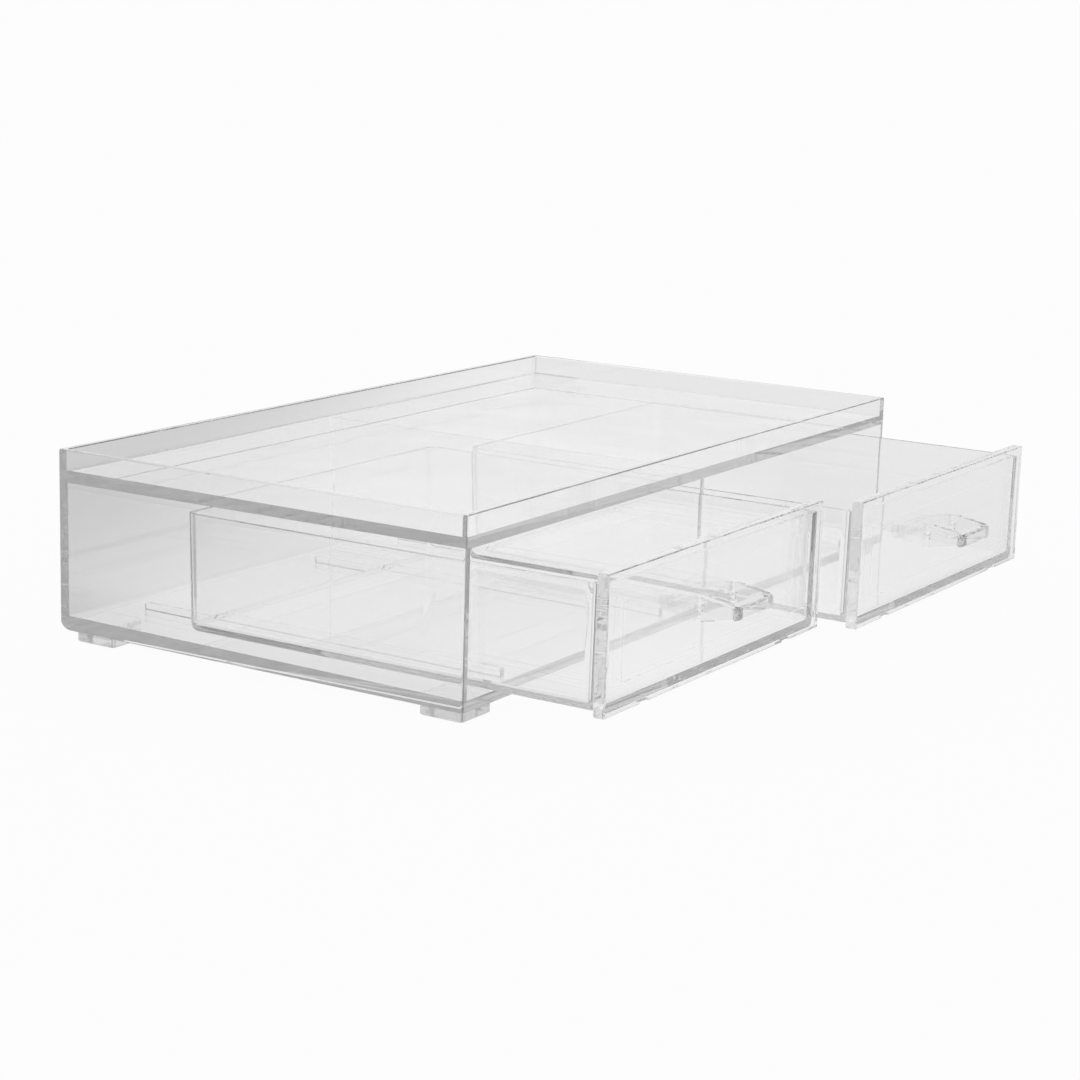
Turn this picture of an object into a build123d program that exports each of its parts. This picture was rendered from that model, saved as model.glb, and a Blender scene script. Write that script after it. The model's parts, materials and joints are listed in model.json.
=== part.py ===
from build123d import *
import math
import os

# A clear moulded desk organizer: one wide, low case with a tray on top and two drawers side by side.
# The case is open at the front. A divider plate parts it into two bays, and each bay has two low
# rails on which its drawer slides. A drawer is a thin-walled tub, a thick face plate bonded to its
# front and a small bar handle pegged through the plate.
# Units are millimetres. +Z is up, the drawers open towards -Y, and +X is to the right seen from the
# front. The origin is on the table, under the middle of the whole object with its drawers part open.

# ---------------------------------------------------------------- case
case_width = 318.0
case_depth = 178.0
case_height = 66.8            # from the case's underside to the top of its rim
side_wall = 2.4               # at the open front edge, where the wall is thinnest
back_wall = 3.0
floor_thickness = 3.8         # at the front edge
deck_thickness = 3.7          # at the front edge
core_draft = 0.35             # degrees by which each side of the bays closes in towards the back
corner_radius = 1.0           # upright outer corners
heel_radius = 5.0             # rounding along the lower back edge
rim_height = 7.7              # depth of the tray above the deck
rim_wall = 2.6
rim_edge_bevel = 0.4
divider_thickness = 2.6
divider_setback = 0.4         # behind the case's open front

# ---------------------------------------------------------------- rails on the case floor
rail_width = 3.0
rail_height = 3.3             # above the floor's front edge
rail_inset = 27.0             # from the side of its bay to the middle of the rail
rail_front_setback = 3.0
rail_back_setback = 14.0

# ---------------------------------------------------------------- feet
foot_length = 18.0
foot_height = 4.4
foot_corner_radius = 2.0
foot_edge_bevel = 0.5
foot_side_inset = 3.0         # from the case's side: the feet drop inside the rim of a case below
foot_front_inset = 2.0
foot_back_inset = 5.0

# ---------------------------------------------------------------- drawer face plate
panel_thickness = 4.5
panel_side_clearance = 1.5
panel_top_clearance = 1.1
panel_floor_clearance = 2.7
panel_edge_bevel = 0.4
field_inset = 10.0            # plain border round the sunk field on the plate's face
field_depth = 0.6
field_corner_radius = 1.5
notch_clearance = 1.6         # beside and above each rail, where the plate's lower lip passes it

# ---------------------------------------------------------------- drawer tub
tub_wall = 2.0
tub_floor = 2.6
tub_side_step = 1.0           # the tub is narrower than the face plate by this on each side
tub_top_step = 4.0            # the tub's rim is lower than the face plate's top by this
tub_draft = 1.0               # degrees by which the tub narrows towards its floor
tub_corner_radius = 5.0
tub_bottom_radius = 3.0
tub_inner_bevel = 1.0         # along the foot of the walls inside
tub_back_clearance = 0.8      # left behind the closed drawer
running_gap = 0.3             # between the rails and the tub's floor

# ---------------------------------------------------------------- handle
handle_width = 27.0
handle_reach = 14.0
handle_leg_width = 3.2
handle_bar_depth = 3.6
handle_base_height = 9.4
handle_tip_height = 4.4
handle_corner_radius = 3.0
handle_edge_bevel = 0.6
handle_rise = 0.6             # of its middle above the middle of the face plate
peg_diameter = 2.8

# ---------------------------------------------------------------- fits and the drawers' positions
bond_gap = 0.1                # film of cement between bonded pieces
left_pull = 52.0              # how far each drawer stands out of its bay
right_pull = 65.0
least_radius = 0.4            # of an inner corner whose wall takes up all of the outer radius

# ---------------------------------------------------------------- places worked out from the sizes
case_front = (max(left_pull, right_pull) + handle_reach - case_depth) / 2
case_back = case_front + case_depth
case_middle = case_front + case_depth / 2
underside = foot_height + bond_gap
rim_top = underside + case_height
deck_top = rim_top - rim_height
deck_underside = deck_top - deck_thickness
floor_top = underside + floor_thickness
rail_top = floor_top + rail_height
bay_depth = case_depth - back_wall
bay_height = deck_underside - floor_top
bay_closing = bay_depth * math.tan(math.radians(core_draft))
bays_width = case_width - 2 * side_wall
bay_width = (bays_width - divider_thickness) / 2
bay_centre = (bay_width + divider_thickness) / 2

panel_width = bay_width - 2 * panel_side_clearance
panel_bottom = floor_top + panel_floor_clearance
panel_top = deck_underside - panel_top_clearance
panel_height = panel_top - panel_bottom
panel_middle = (panel_top + panel_bottom) / 2

tub_width = panel_width - 2 * tub_side_step
tub_top = panel_top - tub_top_step
tub_bottom = rail_top + running_gap
tub_height = tub_top - tub_bottom
tub_front = panel_thickness + bond_gap
tub_back = bay_depth - tub_back_clearance
tub_length = tub_back - tub_front

handle_middle = panel_middle + handle_rise
peg_offset = (handle_width - handle_leg_width) / 2


def rounded_plate(width, length, height, radius):
    """A plate standing on the XY plane, with rounded upright corners."""
    return extrude(RectangleRounded(width, length, radius), amount=height)


def facing_back(y, z):
    """A plane whose normal points to the back, with its origin above the Y axis."""
    return Plane(origin=(0, y, z), x_dir=(1, 0, 0), z_dir=(0, 1, 0))


def facing_right(x):
    """A plane whose normal points to the right, for a profile drawn in Y and Z."""
    return Plane(origin=(x, 0, 0), x_dir=(0, 1, 0), z_dir=(1, 0, 0))


# ---------------------------------------------------------------- case
def case_shell():
    plan = rounded_plate(case_width, case_depth, case_height, corner_radius)
    outline = Pos(0, case_middle, underside) * plan
    side_block = Box(case_width, case_depth, case_height, align=(Align.CENTER, Align.MIN, Align.MIN))
    side_block = Pos(0, case_front, underside) * side_block
    heel = side_block.edges().filter_by(Axis.X).sort_by(Axis.Z)[0:2].sort_by(Axis.Y)[-1]
    shell = outline & fillet(heel, heel_radius)

    tray_radius = max(corner_radius - rim_wall, least_radius)
    tray = rounded_plate(case_width - 2 * rim_wall, case_depth - 2 * rim_wall, rim_height, tray_radius)
    shell -= Pos(0, case_middle, deck_top) * tray
    rim_edges = shell.edges().filter_by_position(Axis.Z, rim_top, rim_top)
    shell = chamfer(rim_edges, rim_edge_bevel)

    hollow = bays()
    for rail in rails():
        hollow -= rail
    return shell - hollow


def bays():
    """The hollow of both bays, which closes in on all four sides towards the back wall."""
    back = case_front + bay_depth
    profile = Polyline((case_front, floor_top), (back, floor_top + bay_closing),
                       (back, deck_underside - bay_closing), (case_front, deck_underside), close=True)
    front_half = bays_width / 2
    back_half = front_half - bay_closing
    plan = Polyline((-front_half, case_front), (front_half, case_front), (back_half, back),
                    (-back_half, back), close=True)
    hollow = extrude(facing_right(-front_half) * make_face(profile), amount=bays_width)
    return hollow & extrude(Pos(0, 0, floor_top) * make_face(plan), amount=bay_height)


def rails():
    """The four rails, with their roots sunk in the floor. The hollow of the bays is cut round them."""
    length = bay_depth - rail_front_setback - rail_back_setback
    root = floor_top - floor_thickness / 2
    rail = Box(rail_width, length, rail_top - root, align=(Align.CENTER, Align.MIN, Align.MIN))
    rail = fillet(rail.edges().filter_by(Axis.Z), rail_width / 3)
    first = case_front + rail_front_setback
    offset = bay_width / 2 - rail_inset
    places = [side * bay_centre + end * offset for side in (-1, 1) for end in (-1, 1)]
    return [Pos(x, first, root) * rail for x in places]


def centre_divider():
    front = case_front + divider_setback
    back = case_front + bay_depth - bond_gap
    rise = bay_closing * (back - case_front) / bay_depth
    low = floor_top + bond_gap
    high = deck_underside - bond_gap
    profile = Polyline((front, low), (back, low + rise), (back, high - rise), (front, high), close=True)
    return extrude(facing_right(-divider_thickness / 2) * make_face(profile), amount=divider_thickness)


def foot():
    block = rounded_plate(foot_length, foot_length, foot_height, foot_corner_radius)
    return chamfer(block.edges().group_by(Axis.Z)[0], foot_edge_bevel)


def feet():
    x = case_width / 2 - foot_side_inset - foot_length / 2
    front = case_front + foot_front_inset + foot_length / 2
    back = case_back - foot_back_inset - foot_length / 2
    rows = {"front": front, "rear": back}
    sides = {"left": -x, "right": x}
    return {f"foot_{row}_{side}": Pos(sides[side], rows[row], 0) * foot() for row in rows for side in sides}


# ---------------------------------------------------------------- drawer
# Each drawer is made closed, in the middle of X, with the face of its plate on the plane y = 0.
def drawer_tub():
    radius = tub_corner_radius
    narrowing = tub_height * math.tan(math.radians(tub_draft))
    top = Plane(origin=(0, tub_back, tub_top), x_dir=(1, 0, 0), z_dir=(0, 0, -1))
    spare = tub_front                  # the blank starts in front of the tub, and its front is cut flat
    blank_length = tub_back - tub_front + spare + narrowing
    blank = extrude(top * Pos(0, blank_length / 2) * RectangleRounded(tub_width, blank_length, radius),
                    tub_height, taper=tub_draft)
    blank = fillet(blank.edges().group_by(Axis.Z)[0], tub_bottom_radius)
    keep = Box(tub_width, tub_length, tub_height, align=(Align.CENTER, Align.MIN, Align.MIN))
    tub = blank & (Pos(0, tub_front, tub_bottom) * keep)

    hollow_width = tub_width - 2 * tub_wall
    hollow_length = tub_length - 2 * tub_wall
    mouth = RectangleRounded(hollow_width, hollow_length, max(radius - tub_wall, least_radius))
    seat = Pos(0, tub_wall + hollow_length / 2)
    hollow = extrude(top * seat * mouth, tub_height - tub_floor, taper=tub_draft)
    hollow = chamfer(hollow.edges().group_by(Axis.Z)[0], tub_inner_bevel)
    return tub - hollow


def drawer_front_panel():
    block = Box(panel_width, panel_thickness, panel_height, align=(Align.CENTER, Align.MIN, Align.MIN))
    panel = Pos(0, 0, panel_bottom) * chamfer(block.edges(), panel_edge_bevel)

    field = RectangleRounded(panel_width - 2 * field_inset, panel_height - 2 * field_inset, field_corner_radius)
    panel -= extrude(facing_back(0, panel_middle) * field, field_depth)

    notch_width = rail_width + 2 * notch_clearance
    notch_top = rail_top + running_gap
    notch = Box(notch_width, panel_thickness, notch_top - panel_bottom, align=(Align.CENTER, Align.MIN, Align.MIN))
    notch_offset = bay_width / 2 - rail_inset
    for end in (-1, 1):
        panel -= Pos(end * notch_offset, 0, panel_bottom) * notch
        hole = Cylinder(peg_diameter / 2 + bond_gap, panel_thickness, rotation=(90, 0, 0))
        panel -= Pos(end * peg_offset, panel_thickness / 2, handle_middle) * hole
    return panel


def drawer_handle():
    face = field_depth - bond_gap      # the legs stand on the floor of the sunk field
    plan = RectangleRounded(handle_width, 2 * handle_reach, handle_corner_radius)
    gap_width = handle_width - 2 * handle_leg_width
    gap_reach = handle_reach - handle_bar_depth
    gap_radius = max(handle_corner_radius - handle_leg_width, least_radius)
    plan -= RectangleRounded(gap_width, 2 * gap_reach, gap_radius)
    bow = extrude(plan, handle_base_height / 2, both=True)

    profile = Polyline((face, handle_base_height / 2), (face, -handle_base_height / 2),
                       (-handle_reach, -handle_tip_height / 2), (-handle_reach, handle_tip_height / 2),
                       close=True)
    bow &= extrude(facing_right(-handle_width / 2) * make_face(profile), handle_width)
    tip_edges = bow.edges().filter_by(Axis.X)
    bow = chamfer(tip_edges.group_by(Axis.Y)[0], handle_edge_bevel)

    peg_length = panel_thickness - face
    peg = Cylinder(peg_diameter / 2, peg_length, rotation=(90, 0, 0))
    for end in (-1, 1):
        bow += Pos(end * peg_offset, face + peg_length / 2, 0) * peg
    return Pos(0, 0, handle_middle) * bow


def drawers():
    pieces = {"tub": drawer_tub(), "front_panel": drawer_front_panel(), "handle": drawer_handle()}
    places = {"left": (-bay_centre, left_pull), "right": (bay_centre, right_pull)}
    placed = {}
    for side, (x, pull) in places.items():
        for name, piece in pieces.items():
            placed[f"{side}_drawer_{name}"] = Pos(x, case_front - pull, 0) * piece
    return placed


def all_pieces():
    pieces = {"case_shell": case_shell(), "centre_divider": centre_divider()}
    pieces.update(feet())
    pieces.update(drawers())
    return pieces


os.makedirs("parts", exist_ok=True)
for node, piece in all_pieces().items():
    export_step(piece, f"parts/{node}.step")
    print(f"{node}: {piece.volume / 1000:.2f} cm3")
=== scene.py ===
import json
import math

import bpy
from mathutils import Matrix, Vector


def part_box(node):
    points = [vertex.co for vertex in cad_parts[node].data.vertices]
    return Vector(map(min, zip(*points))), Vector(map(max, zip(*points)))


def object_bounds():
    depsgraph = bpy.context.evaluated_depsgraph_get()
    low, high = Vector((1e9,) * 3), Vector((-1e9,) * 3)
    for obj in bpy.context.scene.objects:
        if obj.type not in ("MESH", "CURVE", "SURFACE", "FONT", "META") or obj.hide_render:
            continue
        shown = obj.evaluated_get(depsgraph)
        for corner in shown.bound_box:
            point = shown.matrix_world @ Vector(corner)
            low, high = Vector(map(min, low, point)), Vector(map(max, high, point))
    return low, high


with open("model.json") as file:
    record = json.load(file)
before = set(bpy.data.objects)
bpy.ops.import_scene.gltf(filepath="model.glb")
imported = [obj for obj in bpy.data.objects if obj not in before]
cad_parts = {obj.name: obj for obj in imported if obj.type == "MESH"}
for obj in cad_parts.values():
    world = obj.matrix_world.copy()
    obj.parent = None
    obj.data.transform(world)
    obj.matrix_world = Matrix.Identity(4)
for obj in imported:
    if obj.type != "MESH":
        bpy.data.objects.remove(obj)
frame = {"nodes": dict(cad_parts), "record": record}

cad_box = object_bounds()
scene = bpy.context.scene
nodes = frame["nodes"]

# ---------------------------------------------------------------- camera
# Found by fitting the case's corners, its feet and the face plates to the photograph.
PHOTO_SIZE = 1080.0
SENSOR_WIDTH = 36.0             # millimetres
FOCAL_PIXELS = 2550.6
CAMERA_AZIMUTH = math.radians(-57.835)
CAMERA_ELEVATION = math.radians(12.4715)
CAMERA_ROLL = math.radians(1.731)
CAMERA_FROM_CASE = Vector((-0.83056, -0.45053, 0.23825))    # metres from the case's front foot
NEAR_CLIP = 0.01
FAR_CLIP = 1000.0               # past the far edge of the floor


def case_front_foot():
    """The case's front foot: the middle of the front edge of its underside."""
    low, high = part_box("case_shell")
    return Vector(((low.x + high.x) / 2, low.y, low.z))


def make_camera():
    az, el, roll = CAMERA_AZIMUTH, CAMERA_ELEVATION, CAMERA_ROLL
    back = Vector((math.sin(az) * math.cos(el), -math.cos(az) * math.cos(el), math.sin(el)))
    right = (-back).cross(Vector((0, 0, 1))).normalized()
    up = right.cross(-back)
    rolled_right = math.cos(roll) * right + math.sin(roll) * up
    rolled_up = -math.sin(roll) * right + math.cos(roll) * up
    place = case_front_foot() + CAMERA_FROM_CASE
    data = bpy.data.cameras.new("camera")
    data.sensor_width = SENSOR_WIDTH
    data.lens = FOCAL_PIXELS / PHOTO_SIZE * SENSOR_WIDTH
    data.clip_start = NEAR_CLIP
    data.clip_end = FAR_CLIP
    camera = bpy.data.objects.new("camera", data)
    scene.collection.objects.link(camera)
    axes = Matrix((rolled_right, rolled_up, back)).transposed()
    camera.matrix_world = Matrix.Translation(place) @ axes.to_4x4()
    scene.camera = camera


make_camera()

# ---------------------------------------------------------------- materials


class Nodes:
    """A short way to add and join shader nodes."""

    def __init__(self, tree):
        self.tree = tree
        tree.nodes.clear()

    def add(self, kind, **values):
        node = self.tree.nodes.new(kind)
        for name, value in values.items():
            setattr(node, name, value)
        return node

    def join(self, source, output, target, socket):
        self.tree.links.new(source.outputs[output], target.inputs[socket])


PLASTIC_IOR = 1.59
WHITE = (1.0, 1.0, 1.0, 1.0)
BLACK = (0.0, 0.0, 0.0, 1.0)
RIPPLE_SCALE = 28.0             # waves per metre of a moulded face that isn't perfectly flat
RIPPLE_DETAIL = 1.0
FLOW_SCALE = 9.0                # of the broad, faint streaks where the melt has flowed
FLOW_STRETCH = (1.0, 0.25, 1.0)     # which are long from front to back
FLOW_DISTORTION = 0.6
BUMP_DISTANCE = 0.001
SMUDGE_SCALE = 16.0
SMUDGE_FROM, SMUDGE_TO = 0.55, 0.8  # the noise levels between which a smudge comes in


def clear_plastic(name, haze, shade, ripple, smudge):
    """Clear moulded plastic: polished, rippled and softly smudged.

    Haze and shade, both per metre, turn a sheet grey where it is seen through its edge. Ripple is the
    strength of the waves in its faces, and smudge is the roughness where it has been touched.
    """
    material = bpy.data.materials.new(name)
    material.use_nodes = True
    n = Nodes(material.node_tree)
    out = n.add("ShaderNodeOutputMaterial")
    shader = n.add("ShaderNodeBsdfPrincipled")
    shader.inputs["Base Color"].default_value = WHITE
    shader.inputs["Transmission Weight"].default_value = 1.0
    shader.inputs["IOR"].default_value = PLASTIC_IOR
    n.join(shader, "BSDF", out, "Surface")

    place = n.add("ShaderNodeTexCoord")
    waves = n.add("ShaderNodeTexNoise")
    waves.inputs["Scale"].default_value = RIPPLE_SCALE
    waves.inputs["Detail"].default_value = RIPPLE_DETAIL
    n.join(place, "Object", waves, "Vector")
    stretch = n.add("ShaderNodeMapping")
    stretch.inputs["Scale"].default_value = FLOW_STRETCH
    n.join(place, "Object", stretch, "Vector")
    flow = n.add("ShaderNodeTexNoise")
    flow.inputs["Scale"].default_value = FLOW_SCALE
    flow.inputs["Distortion"].default_value = FLOW_DISTORTION
    n.join(stretch, "Vector", flow, "Vector")
    height = n.add("ShaderNodeMath", operation="ADD")
    n.join(waves, "Fac", height, 0)
    n.join(flow, "Fac", height, 1)
    bump = n.add("ShaderNodeBump")
    bump.inputs["Strength"].default_value = ripple
    bump.inputs["Distance"].default_value = BUMP_DISTANCE
    n.join(height, "Value", bump, "Height")
    n.join(bump, "Normal", shader, "Normal")

    smudges = n.add("ShaderNodeTexNoise")
    smudges.inputs["Scale"].default_value = SMUDGE_SCALE
    n.join(place, "Object", smudges, "Vector")
    rough = n.add("ShaderNodeMapRange")
    rough.inputs["From Min"].default_value = SMUDGE_FROM
    rough.inputs["From Max"].default_value = SMUDGE_TO
    rough.inputs["To Min"].default_value = 0.0
    rough.inputs["To Max"].default_value = smudge
    n.join(smudges, "Fac", rough, "Value")
    n.join(rough, "Result", shader, "Roughness")

    depth = n.add("ShaderNodeVolumeAbsorption")
    depth.inputs["Color"].default_value = BLACK
    depth.inputs["Density"].default_value = shade
    mist = n.add("ShaderNodeVolumeScatter")
    mist.inputs["Color"].default_value = WHITE
    mist.inputs["Density"].default_value = haze
    both = n.add("ShaderNodeAddShader")
    n.join(depth, "Volume", both, 0)
    n.join(mist, "Volume", both, 1)
    n.join(both, "Shader", out, "Volume")
    return material


MATERIALS = {
    "case_plastic": clear_plastic("case_plastic", haze=4.0, shade=0.1, ripple=0.02, smudge=0.03),
    "divider_plastic": clear_plastic("divider_plastic", haze=1.0, shade=0.0, ripple=0.02, smudge=0.03),
    "tub_plastic": clear_plastic("tub_plastic", haze=4.0, shade=0.1, ripple=0.03, smudge=0.04),
    "panel_plastic": clear_plastic("panel_plastic", haze=2.0, shade=0.0, ripple=0.015, smudge=0.02),
    "handle_plastic": clear_plastic("handle_plastic", haze=2.0, shade=12.0, ripple=0.01, smudge=0.02),
    "foot_pad": clear_plastic("foot_pad", haze=20.0, shade=0.6, ripple=0.04, smudge=0.1),
}


def give(node, material):
    """Let the node wear one material alone."""
    mesh = nodes[node].data
    mesh.materials.clear()
    mesh.materials.append(material)


for subpart in frame["record"]["subparts"]:
    give(subpart["node"], MATERIALS[subpart["material_slot"]])

# ---------------------------------------------------------------- studio
# The camera sees the floor and the world white. The plastic shows both a little greyer: the floor with
# painted shadow by place, the world by way, dimmer towards the unlit side of the studio.
FLOOR_SIZE = 400.0              # metres, so that its edge stays at the horizon
FLOOR_DROP = 0.0003             # below the feet, so that no two faces lie in one plane
FLOOR_GREY = 0.72               # the colour of its paper, which takes the shadow
SKY_AT_HORIZON = 1.35           # the strength of the studio light
SKY_OVERHEAD = 0.8
SKY_TURN = (0.15, 0.6)          # heights, as sines, between which it goes from one to the other
WHITE_TO_CAMERA = 0.96          # the share of the white background in what the camera sees
WHITE_IN_PLASTIC = 0.82         # in what the plastic shows of the world
FLOOR_IN_PLASTIC = 0.92         # and in what it shows of the floor
FLOOR_FRONT = 0.94              # how pale the plastic shows the floor in front, where 1 is white
FLOOR_PAINTED_SHADOW_REAR_LEFT = 0.6           # and at the rear left, where a painted shadow dims it
FLOOR_SLANT = 0.45
FLOOR_TURN = (-0.30, -0.10)     # x times the slant, less y, in metres, over which it changes
FLOOR_RIGHT_PAINTED_SHADE = 0.1          # painted shade: how much greyer the plastic shows the floor at the far right
FLOOR_RIGHT_TURN = (0.08, 0.25)     # x less y, in metres, over which that comes in
FLOOR_LEFT_SIDE_PAINTED_SHADOW = 0.15          # painted shadow: how much greyer the plastic shows the floor along the case's left side
FLOOR_LEFT_TURN = (-0.14, -0.07)    # x, in metres, over which that goes
DARK_SIDE = (-0.82, -0.52, 0.24)    # towards the unlit side of the studio
DARK_SIDE_TURN = (0.55, 0.9)    # cosines of the angle from it, between which the world dims
DARK_SIDE_LEVEL = 0.25          # how pale the plastic shows the world there
LIT_SIDE_LEVEL = 0.93           # and elsewhere


def white_share(n, in_plastic):
    """How much of the white background a ray sees, by where the ray has been."""
    path = n.add("ShaderNodeLightPath")
    direct = n.add("ShaderNodeMath", operation="MULTIPLY")
    direct.inputs[1].default_value = WHITE_TO_CAMERA
    n.join(path, "Is Camera Ray", direct, 0)
    either = n.add("ShaderNodeMath", operation="MAXIMUM")
    n.join(path, "Is Glossy Ray", either, 0)
    n.join(path, "Is Transmission Ray", either, 1)
    share = n.add("ShaderNodeMath", operation="MULTIPLY_ADD")
    share.inputs[1].default_value = in_plastic
    n.join(either, "Value", share, 0)
    n.join(direct, "Value", share, 2)
    return share


def turn(n, source, output, span, low, high):
    """A smooth step from low to high while the input crosses the span."""
    step = n.add("ShaderNodeMapRange", interpolation_type="SMOOTHSTEP")
    step.inputs["From Min"].default_value = span[0]
    step.inputs["From Max"].default_value = span[1]
    step.inputs["To Min"].default_value = low
    step.inputs["To Max"].default_value = high
    n.join(source, output, step, "Value")
    return step


def make_floor():
    """A pale sheet whose paper takes shadows under a share of plain white, with painted shadow in the
    white that the plastic shows of it.
    """
    mesh = bpy.data.meshes.new("floor")
    half = FLOOR_SIZE / 2
    corners = [(-half, -half, 0), (half, -half, 0), (half, half, 0), (-half, half, 0)]
    mesh.from_pydata(corners, [], [(0, 1, 2, 3)])
    floor = bpy.data.objects.new("floor", mesh)
    scene.collection.objects.link(floor)
    floor.location.z = cad_box[0].z - FLOOR_DROP
    material = bpy.data.materials.new("floor")
    material.use_nodes = True
    n = Nodes(material.node_tree)
    out = n.add("ShaderNodeOutputMaterial")
    paper = n.add("ShaderNodeBsdfDiffuse")
    paper.inputs["Color"].default_value = (FLOOR_GREY, FLOOR_GREY, FLOOR_GREY, 1.0)
    place = n.add("ShaderNodeTexCoord")
    parts = n.add("ShaderNodeSeparateXYZ")
    n.join(place, "Object", parts, "Vector")
    across = n.add("ShaderNodeMath", operation="SUBTRACT")
    n.join(parts, "X", across, 0)
    n.join(parts, "Y", across, 1)
    along = n.add("ShaderNodeMath", operation="MULTIPLY")
    along.inputs[1].default_value = FLOOR_SLANT
    n.join(parts, "X", along, 0)
    slanted = n.add("ShaderNodeMath", operation="SUBTRACT")
    n.join(along, "Value", slanted, 0)
    n.join(parts, "Y", slanted, 1)
    # Painted shade in the white that the plastic shows of the floor: a shadow to the rear left, a shadow
    # along the case's left side and shade at the far right. The camera still sees the floor white.
    left = turn(n, slanted, "Value", FLOOR_TURN, FLOOR_PAINTED_SHADOW_REAR_LEFT, FLOOR_FRONT)
    right = turn(n, across, "Value", FLOOR_RIGHT_TURN, 0.0, FLOOR_RIGHT_PAINTED_SHADE)
    left_side_shadow = turn(n, parts, "X", FLOOR_LEFT_TURN, FLOOR_LEFT_SIDE_PAINTED_SHADOW, 0.0)
    painted_shades = n.add("ShaderNodeMath", operation="ADD")
    n.join(right, "Result", painted_shades, 0)
    n.join(left_side_shadow, "Result", painted_shades, 1)
    level = n.add("ShaderNodeMath", operation="SUBTRACT")
    n.join(left, "Result", level, 0)
    n.join(painted_shades, "Value", level, 1)
    path = n.add("ShaderNodeLightPath")
    pale = n.add("ShaderNodeMath", operation="MAXIMUM")
    n.join(level, "Value", pale, 0)
    n.join(path, "Is Camera Ray", pale, 1)
    white = n.add("ShaderNodeEmission")
    n.join(pale, "Value", white, "Strength")
    mix = n.add("ShaderNodeMixShader")
    n.join(white_share(n, FLOOR_IN_PLASTIC), "Value", mix, 0)
    n.join(paper, "BSDF", mix, 1)
    n.join(white, "Emission", mix, 2)
    n.join(mix, "Shader", out, "Surface")
    mesh.materials.append(material)


def make_world():
    """Soft light from a pale sky, with a share of plain white before it."""
    world = bpy.data.worlds.new("world")
    scene.world = world
    world.use_nodes = True
    n = Nodes(world.node_tree)
    out = n.add("ShaderNodeOutputWorld")
    way = n.add("ShaderNodeTexCoord")
    parts = n.add("ShaderNodeSeparateXYZ")
    n.join(way, "Generated", parts, "Vector")
    level = turn(n, parts, "Z", SKY_TURN, SKY_AT_HORIZON, SKY_OVERHEAD)
    sky = n.add("ShaderNodeBackground")
    n.join(level, "Result", sky, "Strength")
    facing = n.add("ShaderNodeVectorMath", operation="DOT_PRODUCT")
    facing.inputs[1].default_value = DARK_SIDE
    n.join(way, "Generated", facing, 0)
    dim = turn(n, facing, "Value", DARK_SIDE_TURN, LIT_SIDE_LEVEL, DARK_SIDE_LEVEL)
    path = n.add("ShaderNodeLightPath")
    pale = n.add("ShaderNodeMath", operation="MAXIMUM")
    n.join(dim, "Result", pale, 0)
    n.join(path, "Is Camera Ray", pale, 1)
    white = n.add("ShaderNodeBackground")
    white.inputs["Color"].default_value = WHITE
    n.join(pale, "Value", white, "Strength")
    mix = n.add("ShaderNodeMixShader")
    n.join(white_share(n, WHITE_IN_PLASTIC), "Value", mix, 0)
    n.join(sky, "Background", mix, 1)
    n.join(white, "Background", mix, 2)
    n.join(mix, "Shader", out, "Surface")


make_floor()
make_world()

# ---------------------------------------------------------------- rendering
INNER_REFLECTIONS = 96          # light runs far along a clear sheet before it comes out
DIFFUSE_BOUNCES = 6
HAZE_BOUNCES = 24

scene.view_settings.view_transform = "Standard"
scene.cycles.max_bounces = INNER_REFLECTIONS
scene.cycles.transmission_bounces = INNER_REFLECTIONS
scene.cycles.glossy_bounces = INNER_REFLECTIONS
scene.cycles.diffuse_bounces = DIFFUSE_BOUNCES
scene.cycles.volume_bounces = HAZE_BOUNCES
